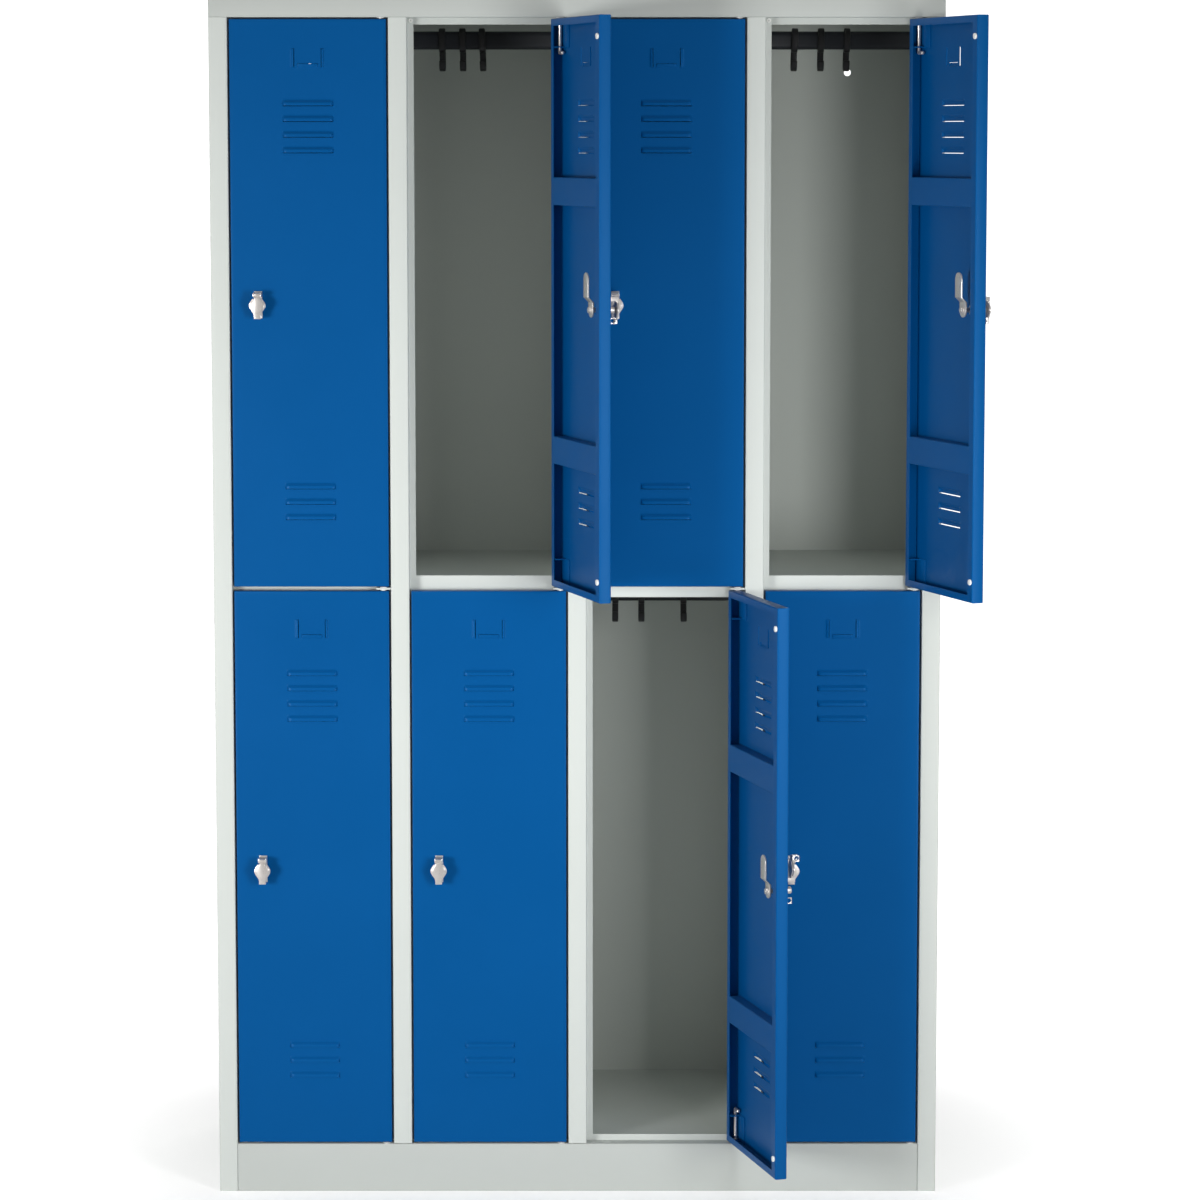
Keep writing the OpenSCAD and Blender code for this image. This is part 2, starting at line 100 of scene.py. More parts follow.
left, front, _ = box("side_left")[0]
right = box("side_right")[1].x
back = box("back_panel")[1].y
top = box("top_panel")[1].z
plinth_h = box("plinth")[1].z
stop_y = front + STOP_DEPTH
post_w = box("side_left")[1].x - left - STOP_W
rail_low = box("door_upper_1")[1].z + END_GAP
post_x = [sum(side.x for side in box(f"partition_{n}")) / 2 for n in (1, 2, 3)]
opening_left = [left + post_w] + [x + post_w / 2 for x in post_x]
opening_right = [x - post_w / 2 for x in post_x] + [right - post_w]
print("openings from the left:", [round(x, 1) for x in opening_left], "width",
      round(opening_right[0] - opening_left[0], 1))


# %% Find each door's hinge axis and how far it stands open
class Door:
    """One door: its name, how far it stands open, and the matrix from its own frame to the cabinet."""

    def __init__(self, name):
        joint = next(j for j in frame["joints"] if j["name"] == f"door_{name}_hinge")
        x, y, _ = joint["pos_m"]
        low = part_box(f"door_{name}")[0].z
        self.name = name
        self.angle = -math.radians(joint["range_deg"][0])
        self.place = Matrix.Translation((x, y, low)) @ Matrix.Rotation(self.angle, 4, "Z")


doors = [Door(f"{tier}_{column}") for tier in TIERS for column in COLUMNS]
shut = doors[0]
hinge_x, hinge_y = (shut.place.translation / MM)[:2]
DOOR_T = 20.0   # depth of a door pan
low, high = box("door_upper_1")
door_left = low.x - hinge_x
door_right = high.x - hinge_x
door_middle = (door_left + door_right) / 2
door_h = high.z - low.z
door_back = high.y - hinge_y
door_front = door_back - DOOR_T
print("doors standing open:", [d.name for d in doors if d.angle > 0.1])

# %% [markdown]
# ## Finishes
#
# Powder coat is baked plastic: satin, with a fine orange peel that breaks up reflections, and a faint
# cloudiness where the film is thicker. The peel and the cloudiness are the same on both colours, so
# they are one node group. Dust lies on anything that faces up, so that is a second group, and the
# drawn look of plated wire and pressings is a third. The groups only give out masks and heights; the
# shader itself stays in each material.

# %% Helpers for node trees and objects


def add_object(name, data):
    """A new object, linked to the scene."""
    made = bpy.data.objects.new(name, data)
    bpy.context.scene.collection.objects.link(made)
    return made


def add_node(tree, kind, values=None, **settings):
    """A node with its settings and its unlinked inputs filled in."""
    node = tree.nodes.new(kind)
    for key, value in settings.items():
        setattr(node, key, value)
    for key, value in (values or {}).items():
        node.inputs[key].default_value = value
    return node


def wire(source, output, target, socket):
    """Links an output of one node to an input of another in the same tree."""
    source.id_data.links.new(source.outputs[output], target.inputs[socket])


def new_group(name, inputs, outputs):
    """A shader group with number inputs and number outputs."""
    tree = bpy.data.node_groups.new(name, "ShaderNodeTree")
    for label, value in inputs.items():
        socket = tree.interface.new_socket(label, in_out="INPUT", socket_type="NodeSocketFloat")
        socket.default_value = value
    for label in outputs:
        tree.interface.new_socket(label, in_out="OUTPUT", socket_type="NodeSocketFloat")
    return tree, tree.nodes.new("NodeGroupInput"), tree.nodes.new("NodeGroupOutput")


def spread(tree, value, low, high):
    """Maps a 0-1 value onto a narrow range."""
    span = add_node(tree, "ShaderNodeMapRange", {"To Min": low, "To Max": high})
    tree.links.new(value, span.inputs["Value"])
    return span.outputs["Result"]


# %% The shared effects


def orange_peel_group():
    """Fine peel height, and a slow cloud for film thickness."""
    tree, given, result = new_group("orange_peel", {"Grain": 420.0, "Cloud": 5.0}, ("Height", "Cloud"))
    place = tree.nodes.new("ShaderNodeTexCoord")
    peel = add_node(tree, "ShaderNodeTexNoise", {"Detail": 2.0, "Roughness": 0.45})
    cloud = add_node(tree, "ShaderNodeTexNoise", {"Detail": 3.0, "Roughness": 0.6})
    for noise, scale in ((peel, "Grain"), (cloud, "Cloud")):
        wire(place, "Object", noise, "Vector")
        wire(given, scale, noise, "Scale")
    wire(peel, "Fac", result, "Height")
    wire(cloud, "Fac", result, "Cloud")
    return tree


def settled_dust_group():
    """A mask for the thin dust on faces that look up."""
    tree, given, result = new_group("settled_dust", {"Amount": 0.3, "Patch size": 30.0}, ("Mask",))
    shape = tree.nodes.new("ShaderNodeNewGeometry")
    split = tree.nodes.new("ShaderNodeSeparateXYZ")
    place = tree.nodes.new("ShaderNodeTexCoord")
    patches = add_node(tree, "ShaderNodeTexNoise", {"Detail": 4.0})
    facing_up = add_node(tree, "ShaderNodeMapRange", {"From Min": 0.6, "From Max": 1.0})
    broken = add_node(tree, "ShaderNodeMath", operation="MULTIPLY")
    weighed = add_node(tree, "ShaderNodeMath", operation="MULTIPLY", use_clamp=True)
    wire(shape, "Normal", split, "Vector")
    wire(split, "Z", facing_up, "Value")
    wire(place, "Object", patches, "Vector")
    wire(given, "Patch size", patches, "Scale")
    wire(facing_up, "Result", broken, 0)
    wire(patches, "Fac", broken, 1)
    wire(broken, 0, weighed, 0)
    wire(given, "Amount", weighed, 1)
    wire(weighed, 0, result, "Mask")
    return tree


def drawn_lines_group():
    """Fine lines along one axis, as drawing and tumbling leave them."""
    tree, given, result = new_group("drawn_lines", {"Across": 3000.0, "Along": 200.0}, ("Lines",))
    place = tree.nodes.new("ShaderNodeTexCoord")
    stretch = tree.nodes.new("ShaderNodeCombineXYZ")
    scaled = add_node(tree, "ShaderNodeVectorMath", operation="MULTIPLY")
    lines = add_node(tree, "ShaderNodeTexNoise", {"Scale": 1.0, "Detail": 3.0})
    for axis, scale in (("X", "Across"), ("Y", "Across"), ("Z", "Along")):
        wire(given, scale, stretch, axis)
    wire(place, "Object", scaled, 0)
    wire(stretch, 0, scaled, 1)
    wire(scaled, 0, lines, "Vector")
    wire(lines, "Fac", result, "Lines")
    return tree


orange_peel = orange_peel_group()
settled_dust = settled_dust_group()
drawn_lines = drawn_lines_group()
print("effects:", [g.name for g in (orange_peel, settled_dust, drawn_lines)])

# %% [markdown]
# ## Materials
#
# Each material is one Principled shader. Its base colour is two close shades mixed by the cloud, so a
# large flat door never looks like a plain fill, and dust lifts the shade of level faces. The plated
# steel is satin nickel: metallic, fairly rough, with lines that change its gloss. The plastics are
# moulded, with a much finer grain. The top and the plinth get a darker copy of the grey coat: a
# painted shade for the weaker light that falls on the rail and the plinth.

# %% Powder coat, plated steel and plastic


def blank_material(name, **constants):
    """A material with its shader's constant sockets filled in."""
    material = bpy.data.materials.new(name)
    material.use_nodes = True
    shader = material.node_tree.nodes["Principled BSDF"]
    for socket, value in constants.items():
        shader.inputs[socket.replace("_", " ")].default_value = value
    return material, material.node_tree, shader


def use_group(tree, group, **values):
    """A group node with its own numbers filled in."""
    node = tree.nodes.new("ShaderNodeGroup")
    node.node_tree = group
    for label, value in values.items():
        node.inputs[label.replace("_", " ")].default_value = value
    return node


def mixed_colour(tree, mask, low, high):
    """Two colours mixed by a mask; a colour may be a socket."""
    mix = add_node(tree, "ShaderNodeMix", data_type="RGBA")
    tree.links.new(mask, mix.inputs[0])
    for socket, colour in ((mix.inputs[6], low), (mix.inputs[7], high)):
        if isinstance(colour, tuple):
            socket.default_value = (*colour, 1.0)
        else:
            tree.links.new(colour, socket)
    return mix.outputs[2]


def dress(tree, shader, colour, mask, gloss, height, strength, distance):
    """Gives the shader its colour, a gloss that follows a mask, and a fine bump."""
    bump = add_node(tree, "ShaderNodeBump", {"Strength": strength, "Distance": distance})
    tree.links.new(height, bump.inputs["Height"])
    wire(bump, "Normal", shader, "Normal")
    tree.links.new(colour, shader.inputs["Base Color"])
    tree.links.new(spread(tree, mask, *gloss), shader.inputs["Roughness"])


def powder_coat(name, colour, shade, gloss, dust, dust_colour, sheen_of=(1.0, 1.0, 1.0)):
    """Satin powder coat: the colour varies by shade, and gloss is (smoothest, roughest)."""
    material, tree, shader = blank_material(name, Specular_IOR_Level=0.25,
                                            Specular_Tint=(*sheen_of, 1.0))
    peel = use_group(tree, orange_peel)
    dusty = use_group(tree, settled_dust, Amount=dust)
    darker = tuple(c * (1 - shade) for c in colour)
    lighter = tuple(c * (1 + shade) for c in colour)
    film = mixed_colour(tree, peel.outputs["Cloud"], darker, lighter)
    final = mixed_colour(tree, dusty.outputs["Mask"], film, dust_colour)
    dress(tree, shader, final, peel.outputs["Cloud"], gloss, peel.outputs["Height"], 0.25, 0.00012)
    return material


def plated(name, colour, gloss):
    """Satin nickel or zinc: metallic, with drawn lines in its gloss."""
    material, tree, shader = blank_material(name, Metallic=0.8)
    lines = use_group(tree, drawn_lines)
    cloud = use_group(tree, orange_peel, Grain=900.0, Cloud=60.0)
    darker = tuple(c * 0.86 for c in colour)
    final = mixed_colour(tree, cloud.outputs["Cloud"], darker, colour)
    dress(tree, shader, final, lines.outputs["Lines"], gloss, lines.outputs["Lines"], 0.12, 0.00005)
    return material


def moulded(name, colour, gloss):
    """Moulded plastic: fine even grain and a little colour drift."""
    material, tree, shader = blank_material(name, Specular_IOR_Level=0.4)
    grain = use_group(tree, orange_peel, Grain=1500.0, Cloud=40.0)
    lighter = tuple(min(1.0, c * 1.15) for c in colour)
    final = mixed_colour(tree, grain.outputs["Cloud"], colour, lighter)
    dress(tree, shader, final, grain.outputs["Cloud"], gloss, grain.outputs["Height"], 0.2, 0.00006)
    return material


DUST = (0.42, 0.41, 0.38)
GREY = (0.60, 0.632, 0.60)
# a darker copy of GREY for the top cover and the plinth: painted shade for the weaker light they get
GREY_PAINTED_SHADE = (0.51, 0.537, 0.51)
FINISHES = {
    "body_paint": powder_coat("light_grey_coat", GREY, 0.02, (0.40, 0.52), 0.10, DUST),
    "frame_paint": powder_coat("second_grey_coat", GREY_PAINTED_SHADE, 0.02, (0.40, 0.52), 0.10, DUST),
    "door_paint": powder_coat("gentian_blue_coat", (0.0, 0.078, 0.265), 0.05, (0.34, 0.46), 0.05, DUST,
                              sheen_of=(0.3, 0.6, 1.0)),
    "plated_steel": plated("satin_nickel", (0.90, 0.85, 0.81), (0.22, 0.38)),
    "rail_black": powder_coat("anthracite_coat", (0.015, 0.017, 0.021), 0.1, (0.34, 0.5), 0.04, DUST),
    "hook_plastic": moulded("black_nylon", (0.010, 0.010, 0.011), (0.34, 0.46)),
    "white_plastic": moulded("natural_nylon", (0.80, 0.80, 0.77), (0.4, 0.5)),
}
print("finishes:", sorted(FINISHES))

# %% [markdown]
# ## Shapes in millimetres
#
# A shape here is just a list of corners and a list of faces. `fold` is the press brake: it takes the
# line of one face of the sheet, seen end on, puts an arc at every corner and gives the line its
# thickness. `extrude` then pulls that section along the third axis. Boxes with broken edges, and sheets
# with openings and pressed hoods, are the other two ways that this cabinet's steel is shaped.

# %% Press brake: fold a line into a section
ARC_STEPS = 4   # flats in each bend


def left_of(direction):
    """The direction a quarter turn to the left."""
    return Vector((-direction.y, direction.x))


def fold(path, side=1, bend=BEND):
    """Both faces of a sheet bent along path; side 1 puts the steel on the left of the line."""
    points = [Vector(p) for p in path]
    ways = [(b - a).normalized() for a, b in zip(points, points[1:])]
    face = [points[0]]
    normals = [left_of(ways[0])]
    for corner, way, turned in zip(points[1:-1], ways, ways[1:]):
        turn = math.atan2(way.x * turned.y - way.y * turned.x, way.dot(turned))
        hand = math.copysign(1, turn)
        radius = bend + (SHEET if hand == side else 0)
        start = corner - way * radius * math.tan(abs(turn) / 2)
        centre = start + left_of(way) * hand * radius
        for step in range(ARC_STEPS + 1):
            normal = left_of(way)
            normal.rotate(Matrix.Rotation(turn * step / ARC_STEPS, 2))
            face.append(centre - normal * hand * radius)
            normals.append(normal)
    face.append(points[-1])
    normals.append(left_of(ways[-1]))
    return face, [p + n * side * SHEET for p, n in zip(face, normals)]


def extrude(section, plane, low, high):
    """A folded section pulled from low to high along the axis that its plane leaves out."""
    face, backing = section
    order = {"xy": (0, 1, 2), "yz": (2, 0, 1), "xz": (0, 2, 1)}[plane]
    count = len(face)
    corners = []
    for level in (low, high):
        for point in face + backing:
            flat = (point.x, point.y, level)
            corners.append(tuple(flat[i] for i in order))
    faces = []
    for i in range(count - 1):
        for k in (i, count + i):
            faces.append((k, k + 1, k + 1 + 2 * count, k + 2 * count))
        for end in (0, 2 * count):
            faces.append((end + i, end + count + i, end + count + i + 1, end + i + 1))
    for i in (0, count - 1):
        faces.append((i, count + i, 3 * count + i, 2 * count + i))
    return corners, faces


# %% Plates, and sheets with openings and pressings


def plate(low, high, edge=0.3):
    """A block with its edges broken."""
    bm = bmesh.new()
    bmesh.ops.create_cube(bm, size=1.0)
    size = Vector(high) - Vector(low)
    middle = (Vector(high) + Vector(low)) / 2
    for vertex in bm.verts:
        vertex.co = Vector(a * b for a, b in zip(vertex.co, size)) + middle
    bmesh.ops.bevel(bm, geom=bm.edges[:], offset=edge, segments=2, affect="EDGES", profile=0.5)
    shape = [tuple(v.co) for v in bm.verts], [tuple(v.index for v in f.verts) for f in bm.faces]
    bm.free()
    return shape


def pressed_sheet(xs, zs, y, is_open, rise=lambda x, z: 0.0):
    """An upright sheet over a grid, with open cells left out and rise pressed out of its front."""
    corners, faces, known = [], [], {}

    def corner(i, j, layer):
        key = (i, j, layer)
        if key not in known:
            known[key] = len(corners)
            corners.append((xs[i], y + layer * SHEET - rise(xs[i], zs[j]), zs[j]))
        return known[key]

    def steel(i, j):
        inside = 0 <= i < len(xs) - 1 and 0 <= j < len(zs) - 1
        return inside and not is_open((xs[i] + xs[i + 1]) / 2, (zs[j] + zs[j + 1]) / 2)

    for i in range(len(xs) - 1):
        for j in range(len(zs) - 1):
            if not steel(i, j):
                continue
            ring = ((i, j), (i + 1, j), (i + 1, j + 1), (i, j + 1))
            beside = ((i, j - 1), (i + 1, j), (i, j + 1), (i - 1, j))
            for layer in (0, 1):
                faces.append(tuple(corner(*spot, layer) for spot in ring))
            for k, cell in enumerate(beside):
                if not steel(*cell):
                    a, b = ring[k], ring[(k + 1) % 4]
                    faces.append((corner(*a, 0), corner(*b, 0), corner(*b, 1), corner(*a, 1)))
    return corners, faces


def moved(shape, x=0.0, y=0.0, z=0.0):
    """The same shape somewhere else."""
    corners, faces = shape
    return [(a + x, b + y, c + z) for a, b, c in corners], faces


# %% [markdown]
# ## Pieces
#
# A piece joins its shapes in one mesh, scales them to metres, turns every face outwards, and then
# rides on a body of the design and stands for the plain nodes that it replaces. Smooth shading with
# sharp edges above 30 degrees lets the bends roll round while cut edges stay crisp.

# %% Make a piece from shapes
FOLD_CREASE = 30   # degrees above which an edge of folded sheet stays crisp
PART_CREASE = 35   # the same for pressed and turned parts


def crease(mesh, angle=FOLD_CREASE):
    """Smooth shading, with every edge sharper than the angle kept crisp."""
    mesh.shade_smooth()
    mesh.set_sharp_from_angle(angle=math.radians(angle))
    return mesh


def mesh_of(name, shapes, place=None):
    """One mesh in metres from several closed shapes, faces outwards."""
    corners, faces = [], []
    for more_corners, more_faces in shapes:
        start = len(corners)
        corners += [tuple(Vector(c) * MM) for c in more_corners]
        faces += [tuple(start + i for i in face) for face in more_faces]
    mesh = bpy.data.meshes.new(name)
    mesh.from_pydata(corners, [], faces)
    bm = bmesh.new()
    bm.from_mesh(mesh)
    bmesh.ops.recalc_face_normals(bm, faces=bm.faces[:])
    bm.to_mesh(mesh)
    bm.free()
    if place is not None:
        mesh.transform(place)
    return crease(mesh)


def show(name, mesh, slot, body, *nodes, finish=None):
    """Puts a mesh in the scene as a piece; its finish is its slot's unless another is named."""
    made = add_object(name, mesh)
    mesh.materials.clear()
    mesh.materials.append(FINISHES[finish or slot])
    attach(made, body)
    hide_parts(*nodes)


def piece(name, shapes, slot, body, *nodes, place=None, finish=None):
    """Makes and shows a piece in one go."""
    mesh = mesh_of(name, shapes, place)
    show(name, mesh, slot, body, *nodes, finish=finish)
    print(f"{name}: {len(shapes)} shapes, {len(mesh.polygons)} faces")


def with_modifiers(mesh, *modifiers):
    """The mesh as it is after modifiers, each given as (kind, settings)."""
    carrier = add_object("carrier", mesh)
    for kind, settings in modifiers:
        modifier = carrier.modifiers.new(kind.lower(), kind)
        for key, value in settings.items():
            if key.startswith("Socket_"):
                modifier[key] = value
            else:
                setattr(modifier, key, value)
    graph = bpy.context.evaluated_depsgraph_get()
    result = bpy.data.meshes.new_from_object(carrier.evaluated_get(graph))
    bpy.data.objects.remove(carrier)
    return result


# %% [markdown]
# ## Side panels and partitions
#
# Each side is one sheet: the wall, then the front post, then back to the door stop. The section is
# folded as seen from above and pulled up to the rail. A partition's post is a hat section, closed
# behind, with a single web between the compartments. Bending the real line keeps post, stop and wall
# one continuous surface, which three boxes would not.

# %% Fold the sides and the partitions
CUT_EDGE = 0.1   # how much a cut edge of thin sheet is broken
side_line = [(left, back), (left, front), (left + post_w, front), (left + post_w, stop_y),
             (left + post_w + STOP_W, stop_y)]
side_shape = extrude(fold(side_line), "xy", 0, rail_low)
wall_top = extrude(fold([(left, back), (left, front + SHEET)]), "xy", rail_low, top - SHEET)
other_side = Matrix.Diagonal((-1, 1, 1, 1))
piece("side_wall_left", [side_shape, wall_top], "body_paint", "cabinet", "side_left")
piece("side_wall_right", [side_shape, wall_top], "body_paint", "cabinet", "side_right", place=other_side)

half = post_w / 2
hat_line = [(-half - STOP_W, stop_y), (-half, stop_y), (-half, front), (half, front), (half, stop_y),
            (half + STOP_W, stop_y)]
hat = extrude(fold(hat_line), "xy", plinth_h + SHEET, rail_low)
closing = plate((-half + SHEET, stop_y, plinth_h + SHEET), (half - SHEET, stop_y + SHEET, rail_low),
                CUT_EDGE)
web = plate((-SHEET / 2, stop_y + SHEET, plinth_h + SHEET), (SHEET / 2, back - SHEET, top - SHEET),
            CUT_EDGE)
for number, x in enumerate(post_x, 1):
    shapes = [moved(shape, x) for shape in (hat, closing, web)]
    piece(f"partition_post_{number}", shapes, "body_paint", "cabinet", f"partition_{number}")

# %% [markdown]
# ## Top, floor, plinth and back
#
# The top panel runs over the whole cabinet, turns down as the rail above the doors and folds back
# under it, where short lips carry the stop on between the posts. The plinth is the same idea upside
# down. Openings that show, the drain slots and the two keyholes for wall screws, are cut with exact
# booleans, because they pass through finished sheet.

# %% Fold the top panel and the floor
TOP_LIP = 11.0     # how far the stop hangs below the rail
FLOOR_LIP = 10.0   # how far it stands above the floor
HEM_BEND = 0.4     # inner radius of the stop's tight hem
lip_spans = [(a + STOP_W, b - STOP_W) for a, b in zip(opening_left, opening_right)]
top_line = [(back, top), (front, top), (front, rail_low), (stop_y + SHEET, rail_low)]
top_shapes = [extrude(fold(top_line), "yz", left, right)]
floor_line = [(stop_y + SHEET, plinth_h), (back - SHEET, plinth_h)]
floor_shapes = [extrude(fold(floor_line), "yz", left + SHEET, right - SHEET)]
for start, end in lip_spans:
    hem = [(stop_y + 3, rail_low + SHEET), (stop_y, rail_low + SHEET), (stop_y, rail_low - TOP_LIP)]
    top_shapes.append(extrude(fold(hem, bend=HEM_BEND), "yz", start, end))
    lip = [(stop_y, plinth_h + FLOOR_LIP), (stop_y, plinth_h - 0.5)]
    floor_shapes.append(extrude(fold(lip), "yz", start, end))
# the top cover takes the darker grey: painted shade for the rail's weaker light
piece("top_cover", top_shapes, "body_paint", "cabinet", "top_panel", finish="frame_paint")
piece("floor_sheet", floor_shapes, "body_paint", "cabinet", "floor_panel")

# %% Cut openings in finished sheet


def cut(mesh, cutters):
    """The mesh less every cutter shape, one at a time, because cutters may overlap."""
    for cutter in cutters:
        tool = add_object("cutter", mesh_of("cutter", [cutter]))
        mesh = with_modifiers(mesh, ("BOOLEAN", {"object": tool, "solver": "EXACT"}))
        bpy.data.objects.remove(tool)
    return crease(mesh)


def round_bar(radius, low, high, sides=32):
    """A round bar along Y, as a cutter."""
    turn = [2 * math.pi * k / sides for k in range(sides)]
    corners = [(radius * math.cos(a), y, radius * math.sin(a)) for y in (low, high) for a in turn]
    faces = [tuple(range(sides)), tuple(range(sides, 2 * sides))]
    faces += [(k, (k + 1) % sides, sides + (k + 1) % sides, sides + k) for k in range(sides)]
    return corners, faces


DRAIN_SLOTS = ((7, 7.5), (26, 15))   # distance from the post, and width
DRAIN_Y = (front + 8, front + 12)
plinth_line = [(stop_y, plinth_h), (front, plinth_h), (front, 0), (stop_y, 0)]
plinth_left, plinth_right = (side.x for side in box("plinth"))
plinth_mesh = mesh_of("plinth_cover", [extrude(fold(plinth_line), "yz", plinth_left, plinth_right)])
slots = []
for x in opening_left:
    for offset, width in DRAIN_SLOTS:
        slots.append(plate((x + offset, DRAIN_Y[0], plinth_h - 3),
                           (x + offset + width, DRAIN_Y[1], plinth_h + 2)))
# the plinth takes the darker grey too: painted shade
show("plinth_cover", cut(plinth_mesh, slots), "body_paint", "cabinet", "plinth", finish="frame_paint")

KEYHOLE_IN = 125.0     # from the side of the cabinet
KEYHOLE_DROP = 109.0   # from its top
KEYHOLE_R = 6.0        # the hole that the screw's head goes through
KEYHOLE_SLOT = (5.0, 20.0)   # width and length of the slot that its shank slides up
back_plate = plate((left + SHEET, back - SHEET, 0), (right - SHEET, back, top - SHEET), CUT_EDGE)
back_mesh = mesh_of("back_sheet", [back_plate])
holes = []
for x in (left + KEYHOLE_IN, right - KEYHOLE_IN):
    z = top - KEYHOLE_DROP
    half_slot = KEYHOLE_SLOT[0] / 2
    holes.append(moved(round_bar(KEYHOLE_R, back - 6, back + 6), x, 0, z))
    holes.append(plate((x - half_slot, back - 5, z), (x + half_slot, back + 5, z + KEYHOLE_SLOT[1])))
show("back_sheet", cut(back_mesh, holes), "body_paint", "cabinet", "back_panel")
print("cut", len(slots), "drain slots and 2 keyholes")

# %% [markdown]
# ## Shelves
#
# A shelf's front edge is one folded strip: it stands up as the stop for the upper door, turns back on
# itself as a hem, and hangs down as the stop for the lower door before it turns in. The lug that both
# middle hinge pins turn in is a thicker pressed plate welded behind the gap between the doors.

# %% Fold a shelf for each column
LIP_H = 36.0         # height of the folded front strip
HEM = 2.4            # its depth where it is folded on itself
DECK_UP = 26.0       # from the strip's foot to the shelf's top face
GAP_UP = 16.5        # and to the middle of the gap between the doors
DECK_FOLD = 15.0     # how far the shelf turns down at each wall
LUG_T = 3.0          # thickness of the lug that the middle hinge pins turn in
LUG_REACH = 12.0     # how far it reaches past the pin
CLEAR = 0.3          # gap between a shelf and the walls
shelf_low = box("shelves")[0]
deck_z = shelf_low.z + DECK_UP
mid_z = shelf_low.z + GAP_UP
front_line = [(stop_y + 20, shelf_low.z), (stop_y, shelf_low.z), (stop_y, shelf_low.z + LIP_H),
              (stop_y + HEM, shelf_low.z + LIP_H), (stop_y + HEM, deck_z), (stop_y + 40, deck_z)]
shelf_shapes = []
for column, (start, end) in enumerate(lip_spans):
    wall_l = left + SHEET if column == 0 else post_x[column - 1] + SHEET / 2
    wall_r = right - SHEET if column == 3 else post_x[column] - SHEET / 2
    wall_l, wall_r = wall_l + CLEAR, wall_r - CLEAR
    shelf_shapes.append(extrude(fold(front_line, side=-1, bend=0.5), "yz", start, end))
    deck_low = deck_z - DECK_FOLD
    deck = [(wall_l, deck_low), (wall_l, deck_z), (wall_r, deck_z), (wall_r, deck_low)]
    shelf_shapes.append(extrude(fold(deck, side=-1), "xz", stop_y + 3.5, back - SHEET))
    pin_x = opening_right[column] - (opening_right[0] - hinge_x)
    lug_low = (pin_x - LUG_REACH, front + 1, mid_z - LUG_T / 2)
    lug_high = (opening_right[column] - CLEAR, stop_y + SHEET, mid_z + LUG_T / 2)
    shelf_shapes.append(plate(lug_low, lug_high, 0.6))
piece("folded_shelves", shelf_shapes, "body_paint", "cabinet", "shelves")

# %% [markdown]
# ## Door pans
#
# A door is a pan: the sheet turns back 20 mm at all four edges and in again as stiffening lips. The
# rim is one section carried round the rectangle with mitred corners, so the light runs unbroken round
# the edge. The flat sheet inside the rim is a grid with windows where the louvers and the label holder
# are pressed, and each window is filled by its own pressed patch.

# %% Carry a section round the door's edge
MARGIN = 6.0     # where the rim meets the flat sheet
RIM_BEND = 1.2   # inner radius of the door's folds
LIPS = {"left": 17.0, "right": 14.0, "low": 11.5, "high": 11.5}   # widths of the stiffening lips


def rim_section(lip):
    """Points of the rim as (distance in from the edge, depth)."""
    line = [(MARGIN, door_front), (0, door_front), (0, door_back), (lip, door_back)]
    face, backing = fold(line, side=-1, bend=RIM_BEND)
    return face + backing[::-1]


def door_rim():
    """The rim's section, carried round the four edges."""
    sections = {side: rim_section(lip) for side, lip in LIPS.items()}
    count = len(sections["left"])
    corners = []
    for k in range(count):
        depth = sections["left"][k].y
        xs = (door_left + sections["left"][k].x, door_right - sections["right"][k].x)
        zs = (sections["low"][k].x, door_h - sections["high"][k].x)
        corners += [(xs[i], depth, zs[j]) for i, j in ((0, 0), (1, 0), (1, 1), (0, 1))]
    faces = []
    for k in range(count):
        for side in range(4):
            a, b = 4 * k + side, 4 * k + (side + 1) % 4
            after = 4 * ((k + 1) % count)
            faces.append((a, b, after + (side + 1) % 4, after + side))
    return corners, faces


# %% Press hoods out of a patch of sheet
SLIT = {"low": 0.9, "high": 0.4, "right": 0.9, "left": 0.9}   # width of the slit at each kind of mouth
CREST = 0.62   # share of a hood over which the sheet rises; the rest runs level to the mouth


class Hood:
    """A pressed hood over a rectangle, open on the side named by its mouth."""

    def __init__(self, left, right, low, high, mouth, out, soft):
        self.box = (left, right, low, high)
        self.mouth = mouth
        self.out = out
        self.soft = soft

    def rise(self, x, z):
        """How far the sheet is pressed out at a point."""
        left, right, low, high = self.box
        if not (left <= x <= right and low <= z <= high):
            return 0.0
        across = {"low": (high - z) / (high - low), "high": (z - low) / (high - low),
                  "right": (x - left) / (right - left), "left": (right - x) / (right - left)}[self.mouth]
        end = min(x - left, right - x) if self.mouth in ("low", "high") else min(z - low, high - z)
        near_end = 1 - min(1.0, end / self.soft)
        slope = min(1.0, across / CREST)
        return self.out * slope * slope * (3 - 2 * slope) * math.sqrt(1 - near_end ** 2)

    def slit(self):
        """The slit along the mouth, as (left, right, low, high)."""
        left, right, low, high = self.box
        gap = SLIT[self.mouth]
        return {"low": (left, right, low - gap, low), "high": (left, right, high, high + gap),
                "right": (right, right + gap, low, high), "left": (left - gap, left, low, high)}[self.mouth]

    def cuts(self):
        """Grid lines across and up that the hood needs."""
        left, right, low, high = self.box
        ends = [self.soft * s for s in (0, 0.06, 0.2, 0.45, 0.75, 1)]
        body = [CREST * s for s in (0, 0.14, 0.28, 0.42, 0.56, 0.7, 0.84, 1)] + [0.8, 1]
        if self.mouth in ("low", "left"):
            body = [1 - s for s in body]
        if self.mouth in ("low", "high"):
            xs = [left + e for e in ends] + [right - e for e in ends]
            zs = [low + (high - low) * s for s in body] + list(self.slit()[2:])
        else:
            xs = [left + (right - left) * s for s in body] + list(self.slit()[:2])
            zs = [low + e for e in ends] + [high - e for e in ends]
        return xs, zs


def within(area, x, z):
    """Whether a point lies inside an area."""
    return area[0] < x < area[1] and area[2] < z < area[3]


